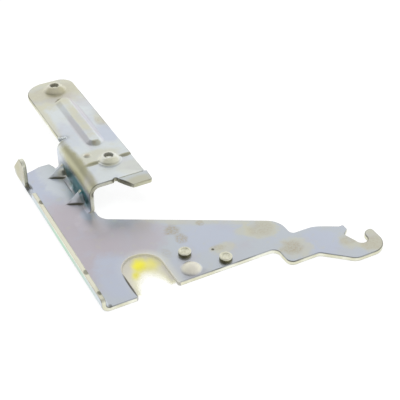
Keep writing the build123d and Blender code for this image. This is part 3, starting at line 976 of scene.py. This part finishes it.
def grease_row(shape, share, settings):
    """Top and bottom points of the film from the slot's wall inwards, with their thickness."""
    thick = shape.verts.layers.float["thick"]
    x, y = slot_outline(share)
    inner_x, inner_y = grease_inside(share, settings.reach)
    fade = min(1.0, (1 - abs(2 * share - 1)) / GREASE_FADE)
    top = []
    bottom = []
    for ring in range(GREASE_RINGS + 1):
        part = ring / GREASE_RINGS
        spot = (x + (inner_x - x) * part, y + (inner_y - y) * part)
        depth = settings.film + settings.climb * (1 - part) ** GREASE_SLOPE
        bottom.append(shape.verts.new((*spot, PLATE_BOTTOM)))
        top.append(shape.verts.new((*spot, PLATE_BOTTOM + depth)))
        bottom[-1][thick] = top[-1][thick] = (1 - part) * fade
    return top, bottom


def grease_shape(settings):
    """A film that clings to the slot's wall and thins out towards the pivot axis."""
    shape = bmesh.new()
    shape.verts.layers.float.new("thick")
    rows = [grease_row(shape, step / GREASE_STEPS, settings) for step in range(GREASE_STEPS + 1)]
    for (top, bottom), (next_top, next_bottom) in zip(rows, rows[1:]):
        for ring in range(GREASE_RINGS):
            shape.faces.new((top[ring], top[ring + 1], next_top[ring + 1], next_top[ring]))
            shape.faces.new((bottom[ring], next_bottom[ring], next_bottom[ring + 1], bottom[ring + 1]))
        for ring in (0, GREASE_RINGS):
            shape.faces.new((top[ring], next_top[ring], next_bottom[ring], bottom[ring]))
    for top, bottom in (rows[0], rows[-1]):
        for ring in range(GREASE_RINGS):
            shape.faces.new((top[ring], top[ring + 1], bottom[ring + 1], bottom[ring]))
    bmesh.ops.recalc_face_normals(shape, faces=shape.faces)
    return smooth_mesh(shape, "slot_grease", GREASE_SHARP)


class HINGE_OT_grease(Operator):
    """Smear grease in the pivot slot"""

    bl_idname = "hinge.grease"
    bl_label = "Slot grease"

    def execute(self, context):
        settings = context.scene.hinge_grease
        mesh = grease_shape(settings)
        grease = added("slot_grease", mesh)
        mesh.materials.append(grease_material(settings))
        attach(grease, BODY)
        return {"FINISHED"}


# The floor lies a hair under the part
FLOOR_GAP = 0.02 * MM
# Where the soft lamp hangs and where it points, in metres
LAMP_PLACE = (-0.25, -0.15, 1.2)
LAMP_AIM = (0.25, 0.2, -1.2)
# Heights between which the studio dims overhead, and the sides and heights between which it dims to the left
OVERHEAD_RANGE = (0.30, 0.95)
LEFT_SIDES = (0.0, 0.6)
LEFT_HEIGHTS = (0.1, 0.5)
LEFT_DIMMING = 0.5
# Direction of the studio's dark camera side
CAMERA_SIDE = (-0.37, -0.70, 0.61)
CAMERA_RANGE = (0.60, 0.93)
CAMERA_DIMMING = 0.45


def floor_material(settings):
    """Pale floor that shows white and keeps a faint shadow."""
    material, start = new_material("pale_floor")
    camera = start.node("ShaderNodeLightPath", output="Is Camera Ray")
    seen = camera.largest(camera.sibling("Is Glossy Ray")).largest(camera.sibling("Is Transmission Ray"))
    diffuse = start.node("ShaderNodeBsdfDiffuse", {"Color": rgba(settings.floor)})
    glow = start.node("ShaderNodeEmission", {"Color": WHITE, "Strength": seen * settings.glow})
    both = start.node("ShaderNodeAddShader", {0: diffuse, 1: glow})
    start.node("ShaderNodeOutputMaterial", {"Surface": both})
    return material


def studio_world(settings):
    """A white horizon that dims overhead, to the left and towards the camera, which sees plain white."""
    world = bpy.data.worlds.new("studio")
    world.use_nodes = True
    world.node_tree.nodes.clear()
    start = Field(world.node_tree)
    way = start.node("ShaderNodeTexCoord", output="Generated")
    x, _, z = way.parts()
    level = z.ease(*OVERHEAD_RANGE).span(settings.horizon, settings.overhead)
    left = (0 - x).ease(*LEFT_SIDES) * z.ease(*LEFT_HEIGHTS)
    inputs = {0: way, 1: CAMERA_SIDE}
    toward = start.node("ShaderNodeVectorMath", inputs, output="Value", operation="DOT_PRODUCT")
    level = level * (1 - left * LEFT_DIMMING) * (1 - toward.ease(*CAMERA_RANGE) * CAMERA_DIMMING)
    camera = start.node("ShaderNodeLightPath", output="Is Camera Ray")
    level = level + camera * (1 - level)
    background = start.node("ShaderNodeBackground", {"Color": WHITE, "Strength": level})
    start.node("ShaderNodeOutputWorld", {"Surface": background})
    return world


def facing(way):
    """The turn of a lamp or camera that looks along a direction."""
    return Vector(way).to_track_quat("-Z", "Y").to_euler()


def soft_lamp(settings):
    """A wide lamp overhead that leaves no highlight of its own."""
    light = bpy.data.lights.new("soft_lamp", "AREA")
    light.energy = settings.lamp
    light.shape = "DISK"
    light.size = settings.lamp_size
    lamp = added("soft_lamp", light)
    lamp.location = LAMP_PLACE
    lamp.rotation_euler = facing(LAMP_AIM)
    lamp.visible_glossy = False


def photo_camera(settings):
    """A camera that stands where the photograph was taken from."""
    data = bpy.data.cameras.new("camera")
    data.lens = settings.lens
    camera = added("camera", data)
    level = cos(settings.tilt)
    way = (sin(settings.turn) * level, cos(settings.turn) * level, -sin(settings.tilt))
    camera.location = settings.eye
    camera.rotation_euler = facing(way)
    return camera


class HINGE_OT_stage(Operator):
    """Set the floor, light and camera"""

    bl_idname = "hinge.stage"
    bl_label = "Stage"

    def execute(self, context):
        scene = context.scene
        settings = scene.hinge_stage
        place = (0.0, 0.0, cad_low.z - FLOOR_GAP)
        bpy.ops.mesh.primitive_plane_add(size=settings.floor_size, location=place)
        floor = context.object
        floor.name = "floor"
        floor.data.materials.append(floor_material(settings))
        scene.world = studio_world(settings)
        soft_lamp(settings)
        scene.camera = photo_camera(settings)
        scene.view_settings.view_transform = "Standard"
        return {"FINISHED"}


class HINGE_PT_panel(Panel):
    """Lists the pieces and their settings"""

    bl_idname = "HINGE_PT_panel"
    bl_label = "Door hinge"
    bl_space_type = "VIEW_3D"
    bl_region_type = "UI"
    bl_category = "Hinge"

    def draw(self, context):
        for group, (kind, operator) in STEPS.items():
            box = self.layout.box()
            settings = getattr(context.scene, group)
            for name in kind.__annotations__:
                box.prop(settings, name)
            box.operator(operator.bl_idname)


# Each step's settings, by their name in the scene, and its operator
STEPS = {
    "hinge_sheet": (SheetSettings, HINGE_OT_sheet),
    "hinge_studs": (StudSettings, HINGE_OT_studs),
    "hinge_grease": (GreaseSettings, HINGE_OT_grease),
    "hinge_stage": (StageSettings, HINGE_OT_stage),
}


def register():
    """Registers the settings, operators and panel."""
    for group, (kind, operator) in STEPS.items():
        bpy.utils.register_class(kind)
        bpy.utils.register_class(operator)
        setattr(bpy.types.Scene, group, PointerProperty(type=kind))
    bpy.utils.register_class(HINGE_PT_panel)


def unregister():
    """Takes them all back."""
    bpy.utils.unregister_class(HINGE_PT_panel)
    for group, (kind, operator) in reversed(STEPS.items()):
        delattr(bpy.types.Scene, group)
        bpy.utils.unregister_class(operator)
        bpy.utils.unregister_class(kind)


def main():
    """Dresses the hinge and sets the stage."""
    register()
    bpy.ops.hinge.sheet()
    bpy.ops.hinge.studs()
    bpy.ops.hinge.grease()
    bpy.ops.hinge.stage()


if __name__ == "__main__":
    main()
